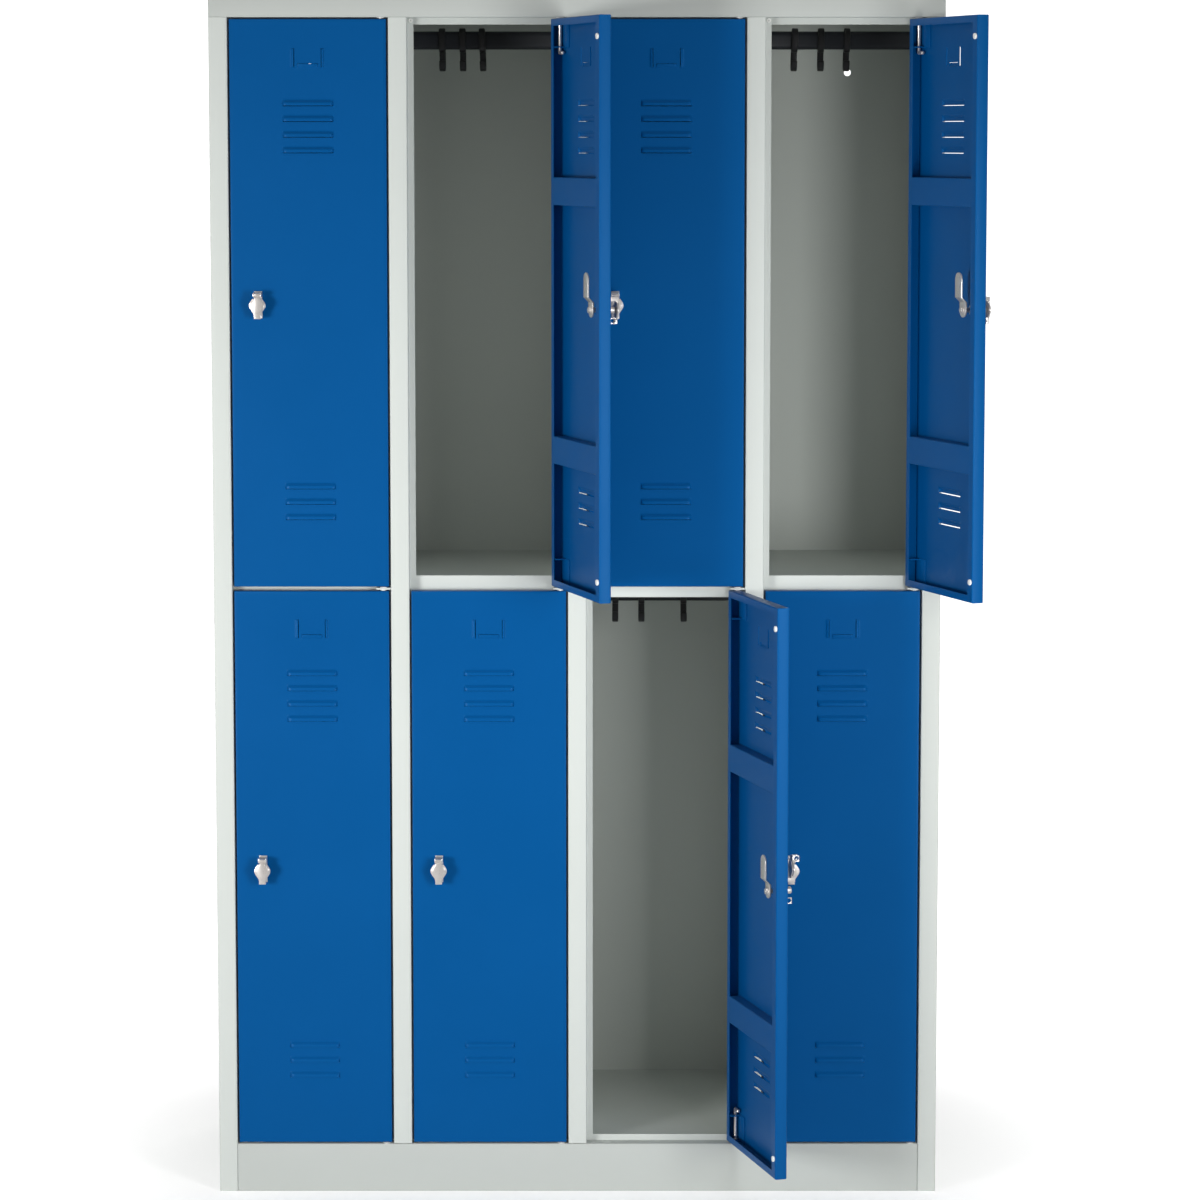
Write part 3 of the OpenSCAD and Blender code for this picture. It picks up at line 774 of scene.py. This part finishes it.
def pressed_patch(area, hoods):
    """The patch of door sheet that fills a window, with its hoods."""
    xs, zs = set(area[:2]), set(area[2:])
    for hood in hoods:
        more_x, more_z = hood.cuts()
        xs.update(round(x, 4) for x in more_x)
        zs.update(round(z, 4) for z in more_z)
    slits = [hood.slit() for hood in hoods]
    return pressed_sheet(sorted(xs), sorted(zs), door_front,
                         lambda x, z: any(within(slit, x, z) for slit in slits),
                         lambda x, z: max(hood.rise(x, z) for hood in hoods))


# %% [markdown]
# ## Louvers
#
# All the louvers of a door are the same pressing at an even pitch, four near the top and three near
# the bottom. That is a rule, so Geometry Nodes lay them out: a line of points with named inputs for
# how many, how far apart and where the first one sits, and one pressed patch on each point.

# %% A node tree that repeats a pressing up a door


def geometry_tree(name, inputs):
    """A Geometry Nodes tree with its sockets; returns the tree and its ends."""
    tree = bpy.data.node_groups.new(name, "GeometryNodeTree")
    tree.interface.new_socket("Geometry", in_out="INPUT", socket_type="NodeSocketGeometry")
    for label, kind in inputs.items():
        tree.interface.new_socket(label, in_out="INPUT", socket_type="NodeSocket" + kind)
    tree.interface.new_socket("Geometry", in_out="OUTPUT", socket_type="NodeSocketGeometry")
    return tree, tree.nodes.new("NodeGroupInput"), tree.nodes.new("NodeGroupOutput")


def end_in_mesh(tree, given, result, instances):
    """Realises the copies and gives them their finish."""
    real = tree.nodes.new("GeometryNodeRealizeInstances")
    finish = tree.nodes.new("GeometryNodeSetMaterial")
    tree.links.new(instances, real.inputs[0])
    wire(real, 0, finish, "Geometry")
    wire(given, "Finish", finish, "Material")
    wire(finish, 0, result, 0)


def pressing_column_tree():
    """Copies of one pressing in a column."""
    tree, given, result = geometry_tree("pressing_column", {
        "Pressing": "Object", "Finish": "Material", "Count": "Int", "Pitch": "Float", "Lowest": "Float"})
    line = add_node(tree, "GeometryNodeMeshLine", mode="OFFSET")
    start = tree.nodes.new("ShaderNodeCombineXYZ")
    step = tree.nodes.new("ShaderNodeCombineXYZ")
    source = tree.nodes.new("GeometryNodeObjectInfo")
    copies = tree.nodes.new("GeometryNodeInstanceOnPoints")
    wire(given, "Count", line, "Count")
    wire(given, "Lowest", start, "Z")
    wire(given, "Pitch", step, "Z")
    wire(start, 0, line, "Start Location")
    wire(step, 0, line, "Offset")
    wire(given, "Pressing", source, "Object")
    wire(line, 0, copies, "Points")
    wire(source, "Geometry", copies, "Instance")
    end_in_mesh(tree, given, result, copies.outputs[0])
    return tree


def run_tree(tree, start, **values):
    """The plain mesh that a tree makes from a start mesh and its named inputs."""
    sockets = {item.name: item.identifier for item in tree.interface.items_tree
               if item.item_type == "SOCKET" and item.in_out == "INPUT"}
    settings = {"node_group": tree}
    settings.update({sockets[label]: value for label, value in values.items()})
    return with_modifiers(start, ("NODES", settings))


pressing_column = pressing_column_tree()

# %% Build the louver banks once, in the door's own frame
LOUVER_W, LOUVER_H, LOUVER_OUT, LOUVER_PITCH = 81.0, 10.0, 3.8, 25.0
LOUVER_END = 7.0    # how long a louver's rounded end is
PATCH_EDGE = 3.0    # flat sheet round the pressings in a patch
TOP_BANK_DROP = 128.0   # from the door's top to the highest louver
LOW_BANK_UP = 110.0     # from its foot to the lowest
TOP_BANK = (4, door_h - TOP_BANK_DROP - LOUVER_H - 3 * LOUVER_PITCH)
LOW_BANK = (3, LOW_BANK_UP)
louver_area = (-LOUVER_W / 2 - PATCH_EDGE, LOUVER_W / 2 + PATCH_EDGE,
               -SLIT["low"] - PATCH_EDGE, LOUVER_H + PATCH_EDGE)
louver_hood = Hood(-LOUVER_W / 2, LOUVER_W / 2, 0, LOUVER_H, "low", LOUVER_OUT, LOUVER_END)
louver = add_object("louver", mesh_of("louver", [pressed_patch(louver_area, [louver_hood])]))
banks = []
for count, lowest in (TOP_BANK, LOW_BANK):
    banks.append(run_tree(pressing_column, bpy.data.meshes.new("start"), Pressing=louver,
                          Finish=FINISHES["door_paint"], Count=count, Pitch=LOUVER_PITCH * MM,
                          Lowest=lowest * MM))
bpy.data.objects.remove(louver)
print("louver banks:", [len(bank.polygons) for bank in banks], "faces")

# %% [markdown]
# ## Label holder
#
# A paper label slides between three narrow hoods near the top of the door, one at each side and one
# below, with their mouths inwards. They are shallow louvers, so the same `Hood` makes them.

# %% Press the label holder
LABEL_W, LABEL_H, LABEL_TOP, LABEL_OUT = 54.6, 32.0, 47.0, 1.6
LABEL_STRIP = 5.0          # width of the hoods at the sides
LABEL_FOOT = (33.0, 7.5)   # length and height of the one below
LABEL_END = 1.5            # their rounded ends
label_low = door_h - LABEL_TOP - LABEL_H
label_high = label_low + LABEL_H
label_area = (-LABEL_W / 2 - PATCH_EDGE, LABEL_W / 2 + PATCH_EDGE, label_low - PATCH_EDGE,
              label_high + PATCH_EDGE)
label_hoods = []
for start, mouth in ((-LABEL_W / 2, "right"), (LABEL_W / 2 - LABEL_STRIP, "left")):
    label_hoods.append(Hood(start, start + LABEL_STRIP, label_low + 2, label_high, mouth, LABEL_OUT,
                            LABEL_END))
label_hoods.append(Hood(-LABEL_FOOT[0] / 2, LABEL_FOOT[0] / 2, label_low, label_low + LABEL_FOOT[1],
                        "high", LABEL_OUT, LABEL_END))
label_patch = moved(pressed_patch(label_area, label_hoods), door_middle)
print("label holder:", len(label_patch[1]), "faces")

# %% The flat sheet with its windows
windows = [tuple(v + (door_middle if k < 2 else 0) for k, v in enumerate(label_area))]
for count, lowest in (TOP_BANK, LOW_BANK):
    for k in range(count):
        z = lowest + k * LOUVER_PITCH
        windows.append((louver_area[0] + door_middle, louver_area[1] + door_middle,
                        louver_area[2] + z, louver_area[3] + z))
skin_x = sorted({door_left + MARGIN, door_right - MARGIN, *(w[k] for w in windows for k in (0, 1))})
skin_z = sorted({MARGIN, door_h - MARGIN, *(w[k] for w in windows for k in (2, 3))})
skin = pressed_sheet(skin_x, skin_z, door_front, lambda x, z: any(within(w, x, z) for w in windows))
print(len(windows), "windows for pressings in a door's sheet")

# %% [markdown]
# ## Crossbars
#
# Two channels stiffen the inside of each door. Each is a folded channel that stands on the sheet and
# ends flush with the lips, so from inside it reads as a flat blue band with two soft edges.

# %% Fold the crossbars
CROSSBAR_H = 45.0
TOP_BAR_DROP = 297.0   # from the door's top to the foot of the upper bar
LOW_BAR_UP = 200.5     # from the door's foot to the foot of the lower bar
bar_left = door_left + LIPS["left"]
bar_right = door_right - LIPS["right"]
crossbars = []
for z in (door_h - TOP_BAR_DROP, LOW_BAR_UP):
    channel = [(door_front + SHEET, z), (door_back, z), (door_back, z + CROSSBAR_H),
               (door_front + SHEET, z + CROSSBAR_H)]
    crossbars.append(extrude(fold(channel), "yz", bar_left, bar_right))
print("crossbars:", len(crossbars), "in a door,", round(bar_right - bar_left, 1), "mm long")

# %% [markdown]
# ## Whole doors
#
# Rim, sheet, label holder, louvers and crossbars are one welded and coated piece, so they become one
# mesh, and the door's matrix swings it to where the design has it.

# %% Put every door together
for door in doors:
    mesh = mesh_of("door_pan_" + door.name, [door_rim(), skin, label_patch, *crossbars])
    bm = bmesh.new()
    bm.from_mesh(mesh)
    for bank in banks:
        more = bank.copy()
        more.transform(Matrix.Translation((door_middle * MM, 0, 0)))
        bm.from_mesh(more)
    bm.to_mesh(mesh)
    bm.free()
    mesh.transform(door.place)
    crease(mesh)
    show("door_pan_" + door.name, mesh, "door_paint", "door_" + door.name, "door_" + door.name)
print("eight door pans,", len(doors) * len(mesh.polygons), "faces in all")

# %% [markdown]
# ## Small hardware
#
# Locks, flaps, bolts, brackets, bushes, rails and buffers are already true shapes in the design, made
# of loose triangles. A copy is welded, its flat faces are joined again, and a small bevel breaks every
# sharp edge, which is what catches light on a plated part. Nodes that mix steel, paint and plastic are
# first split into their separate solids.

# %% Take the solids of a node and break their edges


def solids(node):
    """The separate closed solids of a node, welded, in the order in which they lie in its mesh."""
    bm = bmesh.new()
    bm.from_mesh(frame["nodes"][node].data)
    bmesh.ops.remove_doubles(bm, verts=bm.verts[:], dist=1e-6)
    bm.verts.index_update()
    bm.faces.index_update()
    groups, found = [], set()
    for first in bm.verts:
        if first in found:
            continue
        group, reached = {first}, [first]
        while reached:
            vertex = reached.pop()
            for edge in vertex.link_edges:
                other = edge.other_vert(vertex)
                if other not in group:
                    group.add(other)
                    reached.append(other)
        found |= group
        groups.append(group)
    result = []
    for group in groups:
        numbers = {vertex: k for k, vertex in enumerate(sorted(group, key=lambda v: v.index))}
        faces = {face for vertex in group for face in vertex.link_faces}
        mesh = bpy.data.meshes.new(node)
        mesh.from_pydata([tuple(v.co) for v in numbers], [],
                         [[numbers[v] for v in f.verts] for f in sorted(faces, key=lambda f: f.index)])
        result.append(mesh)
    bm.free()
    return result


def softened(meshes, name, width, segments=2):
    """The solids as one mesh, with flat faces joined and every crisp edge bevelled."""
    bm = bmesh.new()
    for mesh in meshes:
        bm.from_mesh(mesh)
    bmesh.ops.dissolve_limit(bm, angle_limit=math.radians(1), verts=bm.verts[:], edges=bm.edges[:])
    whole = bpy.data.meshes.new(name)
    bm.to_mesh(whole)
    bm.free()
    bevel = {"width": width * MM, "segments": segments, "limit_method": "ANGLE",
             "angle_limit": math.radians(PART_CREASE), "use_clamp_overlap": False}
    result = with_modifiers(whole, ("BEVEL", bevel))
    result.name = name
    return crease(result, PART_CREASE)


def span(mesh, door=None):
    """Lowest and highest corner in millimetres, in the door's own frame if one is given."""
    back_home = door.place.inverted() if door else Matrix()
    corners = [(back_home @ v.co) / MM for v in mesh.vertices]
    return (Vector(min(c[k] for c in corners) for k in range(3)),
            Vector(max(c[k] for c in corners) for k in range(3)))


# %% Locks, flaps, bolts and the doors' fittings
TINY = 0.5           # slack when a solid's place is compared with a face of the door
BAR_LENGTH = 150.0   # only a crossbar is longer
BRACKET_H = 40.0     # only a bracket behind the sheet is taller
FITTINGS = (("bracket", "door_paint", 0.4), ("hardware", "plated_steel", 0.35),
            ("buffer", "white_plastic", 0.8))   # kind, slot and width of the broken edge
LOOSE = (("hinge_bolt", "bolt", 0.6), ("lock", "lock", 0.45), ("lock_flap", "flap", 0.55))


def kind_of(mesh, door):
    """What a solid of a door's fittings is, told by its size and place in the shut door."""
    low, high = span(mesh, door)
    if low.y > door_back - TINY:
        return "buffer"
    if high.x - low.x > BAR_LENGTH:
        return "crossbar"
    behind_sheet = low.y > door_front + TINY
    return "bracket" if high.z - low.z > BRACKET_H and behind_sheet else "hardware"


for door in doors:
    parts_of = {"bracket": [], "hardware": [], "buffer": [], "crossbar": []}
    for mesh in solids("door_fittings_" + door.name):
        parts_of[kind_of(mesh, door)].append(mesh)
    for kind, slot, width in FITTINGS:   # the crossbars are folded above
        name = f"door_{kind}_{door.name}"
        mesh = softened(parts_of[kind], name, width)
        show(name, mesh, slot, "door_" + door.name, "door_fittings_" + door.name)
    for node, body, width in LOOSE:
        name = f"{node}_{door.name}"
        mesh = softened(solids(name), f"plated_{name}", width, 3)
        show(f"plated_{name}", mesh, "plated_steel", f"{body}_{door.name}", name)
print("hardware of", len(doors), "doors")

# %% Rails, bushes and ring buffers
for name, node, width, slot in (("oval_rails", "hanging_rails", 0.4, "rail_black"),
                                ("bushes", "frame_fittings", 0.3, "white_plastic")):
    mesh = softened(solids(node), name, width)
    show(name, mesh, slot, "cabinet", node)
    print(f"{name}: {len(mesh.polygons)} faces")

# %% [markdown]
# ## Coat hooks
#
# The hooks are nylon, all from one mould, and they slide on the rail, so no two sit quite the
# same way. One hook is softened with a wide bevel to give it the round moulded section, and a second
# node tree puts a copy at each place along the rail with a small seeded turn.

# %% A node tree that hangs hooks on places


def hang_hooks_tree():
    """A copy of one hook on every point, each turned a little about the rail."""
    tree, given, result = geometry_tree("hang_hooks", {
        "Hook": "Object", "Finish": "Material", "Swing": "Float", "Seed": "Int"})
    source = tree.nodes.new("GeometryNodeObjectInfo")
    swing = add_node(tree, "FunctionNodeRandomValue", data_type="FLOAT")
    backwards = add_node(tree, "ShaderNodeMath", {1: -1.0}, operation="MULTIPLY")
    turn = tree.nodes.new("ShaderNodeCombineXYZ")
    copies = tree.nodes.new("GeometryNodeInstanceOnPoints")
    wire(given, "Hook", source, "Object")
    wire(given, "Swing", backwards, 0)
    wire(backwards, 0, swing, 2)
    wire(given, "Swing", swing, 3)
    wire(given, "Seed", swing, "Seed")
    wire(swing, 1, turn, "Y")
    wire(given, "Geometry", copies, "Points")
    wire(source, "Geometry", copies, "Instance")
    wire(turn, 0, copies, "Rotation")
    end_in_mesh(tree, given, result, copies.outputs[0])
    return tree


hang_hooks = hang_hooks_tree()
HOOK_ROUND = 1.9    # bevel that makes a moulded section of a plain one
HOOK_SWING = 0.035  # radians either way
for seed, door in enumerate(doors):
    node = "hooks_" + door.name
    parts = solids(node)
    middles = [(low + high) / 2 * MM for low, high in (span(part) for part in parts)]
    pattern = parts[0].copy()
    pattern.transform(Matrix.Translation(-middles[0]))
    hook = add_object("hook", softened([pattern], "hook", HOOK_ROUND, 3))
    places = bpy.data.meshes.new("places")
    places.from_pydata([tuple(m) for m in middles], [], [])
    mesh = run_tree(hang_hooks, places, Hook=hook, Finish=FINISHES["hook_plastic"], Swing=HOOK_SWING,
                    Seed=seed)
    bpy.data.objects.remove(hook)
    show("coat_" + node, crease(mesh, PART_CREASE), "hook_plastic", node, node)
print("hooks hung:", 3 * len(doors))

# %% [markdown]
# ## Floor, light and camera
#
# The cabinet stands on a plain pale floor. A soft light from the left gives the doors their slow
# gradient and the locks their small shadow on the right. A weaker one comes from the right, and a near
# one reaches into the compartments. One light behind and one above serve the other sides, and the white
# surroundings do the rest. The camera looks in a little from above with a long lens, so upright edges
# stay nearly parallel. The standard view is used because a filmic one would bleach a blue this deep.

# %% The floor and the white surroundings
bpy.context.scene.view_settings.view_transform = "Standard"
WHITE = 1.1         # how bright the surroundings look to the camera
AMBIENT = 0.28      # how much light they give the cabinet
FADE = (0.4, 1.5)   # metres from the middle over which the floor turns into the surroundings
NEAR_GLOW = 0.35    # how much of the floor's white is its own near the cabinet
REACH = 60.0        # half the width of the floor, in metres


def white_to_camera(tree, strength):
    """An emission that only shows where the camera sees it directly."""
    path = tree.nodes.new("ShaderNodeLightPath")
    level = add_node(tree, "ShaderNodeMath", {1: strength}, operation="MULTIPLY")
    wire(path, "Is Camera Ray", level, 0)
    return level.outputs[0]


def floor_material():
    """Pale and matt, catching shadows near the cabinet and turning white to the camera far off."""
    material, tree, shader = blank_material("pale_floor", Roughness=0.8, Specular_IOR_Level=0.1)
    place = tree.nodes.new("ShaderNodeTexCoord")
    grain = add_node(tree, "ShaderNodeTexNoise", {"Scale": 3.0, "Detail": 4.0})
    reach = add_node(tree, "ShaderNodeVectorMath", operation="LENGTH")
    fade = {"From Min": FADE[0], "From Max": FADE[1], "To Min": NEAR_GLOW}
    far = add_node(tree, "ShaderNodeMapRange", fade, interpolation_type="SMOOTHSTEP")
    wire(place, "Object", grain, "Vector")
    wire(place, "Object", reach, 0)
    wire(reach, "Value", far, "Value")
    tree.links.new(mixed_colour(tree, grain.outputs["Fac"], (0.86, 0.86, 0.86), (0.9, 0.9, 0.9)),
                   shader.inputs["Base Color"])
    glow = add_node(tree, "ShaderNodeMath", operation="MULTIPLY")
    wire(far, "Result", glow, 0)
    tree.links.new(white_to_camera(tree, WHITE), glow.inputs[1])
    wire(glow, 0, shader, "Emission Strength")
    shader.inputs["Emission Color"].default_value = (1.0, 1.0, 1.0, 1.0)
    return material


floor_mesh = bpy.data.meshes.new("studio_floor")
floor_mesh.from_pydata([(-REACH, -REACH, 0), (REACH, -REACH, 0), (REACH, REACH, 0), (-REACH, REACH, 0)],
                       [], [(0, 1, 2, 3)])
floor_mesh.materials.append(floor_material())
add_object("studio_floor", floor_mesh)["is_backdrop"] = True

world = bpy.data.worlds.new("studio")
bpy.context.scene.world = world
world.use_nodes = True
sky = world.node_tree.nodes["Background"]
sky.inputs["Color"].default_value = (1.0, 1.0, 1.0, 1.0)
brightness = add_node(world.node_tree, "ShaderNodeMath", {1: AMBIENT}, operation="ADD")
world.node_tree.links.new(white_to_camera(world.node_tree, WHITE), brightness.inputs[0])
wire(brightness, 0, sky, "Strength")

# %% The lights


def soft_light(name, place, target, size, power, cone):
    """A soft box, unseen by the camera, that shines within a cone of so many degrees."""
    lamp = bpy.data.lights.new(name, "AREA")
    lamp.shape = "RECTANGLE"
    lamp.size, lamp.size_y = size
    lamp.energy = power
    lamp.spread = math.radians(cone)
    holder = add_object(name, lamp)
    holder.location = place
    holder.rotation_euler = (Vector(target) - Vector(place)).to_track_quat("-Z", "Y").to_euler()
    holder.visible_camera = False
    return holder


soft_light("key_left", (-2.8, -3.4, 0.95), (-0.5, -0.25, 0.95), (1.0, 1.0), 26, 90)
soft_light("side_right", (2.5, -3.8, 0.9), (0.2, -0.25, 0.8), (0.8, 1.6), 12, 80)
soft_light("near_right", (0.92, -2.2, 1.1), (0.3, -0.25, 1.0), (0.4, 0.9), 5.5, 100).visible_glossy = False
soft_light("behind", (1.4, 4.6, 2.0), (0.0, 0.25, 1.0), (2.0, 2.0), 22, 150)
soft_light("above", (0.0, 0.0, 4.4), (0.0, 0.0, 1.95), (1.2, 0.3), 5, 150)
print("lights:", len(bpy.data.lights))

# %% The camera
LOOKS_DOWN = 5.86   # degrees
camera_data = bpy.data.cameras.new("camera")
camera_data.sensor_width = 36.0
camera_data.lens = 114.95
camera_data.shift_y = -0.06
camera_data.clip_end = 200.0
camera = add_object("camera", camera_data)
camera.location = (0.037, -6.428, 1.734)
camera.rotation_euler = (math.radians(90 - LOOKS_DOWN), 0.0, 0.0)
bpy.context.scene.camera = camera
print("camera:", camera_data.lens, "mm lens, looking down", LOOKS_DOWN, "degrees")

# %% [markdown]
# ## Check the size
#
# Rounded and pressed steel must not grow the cabinet, so the last step measures both boxes.

# %% Compare the size of the looks with the design, and finish
seen_low, seen_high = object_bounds()
growth = (*(seen_low - cad_low), *(seen_high - cad_high))
print("visual box less design box, mm:", [round(v / MM, 2) for v in growth])
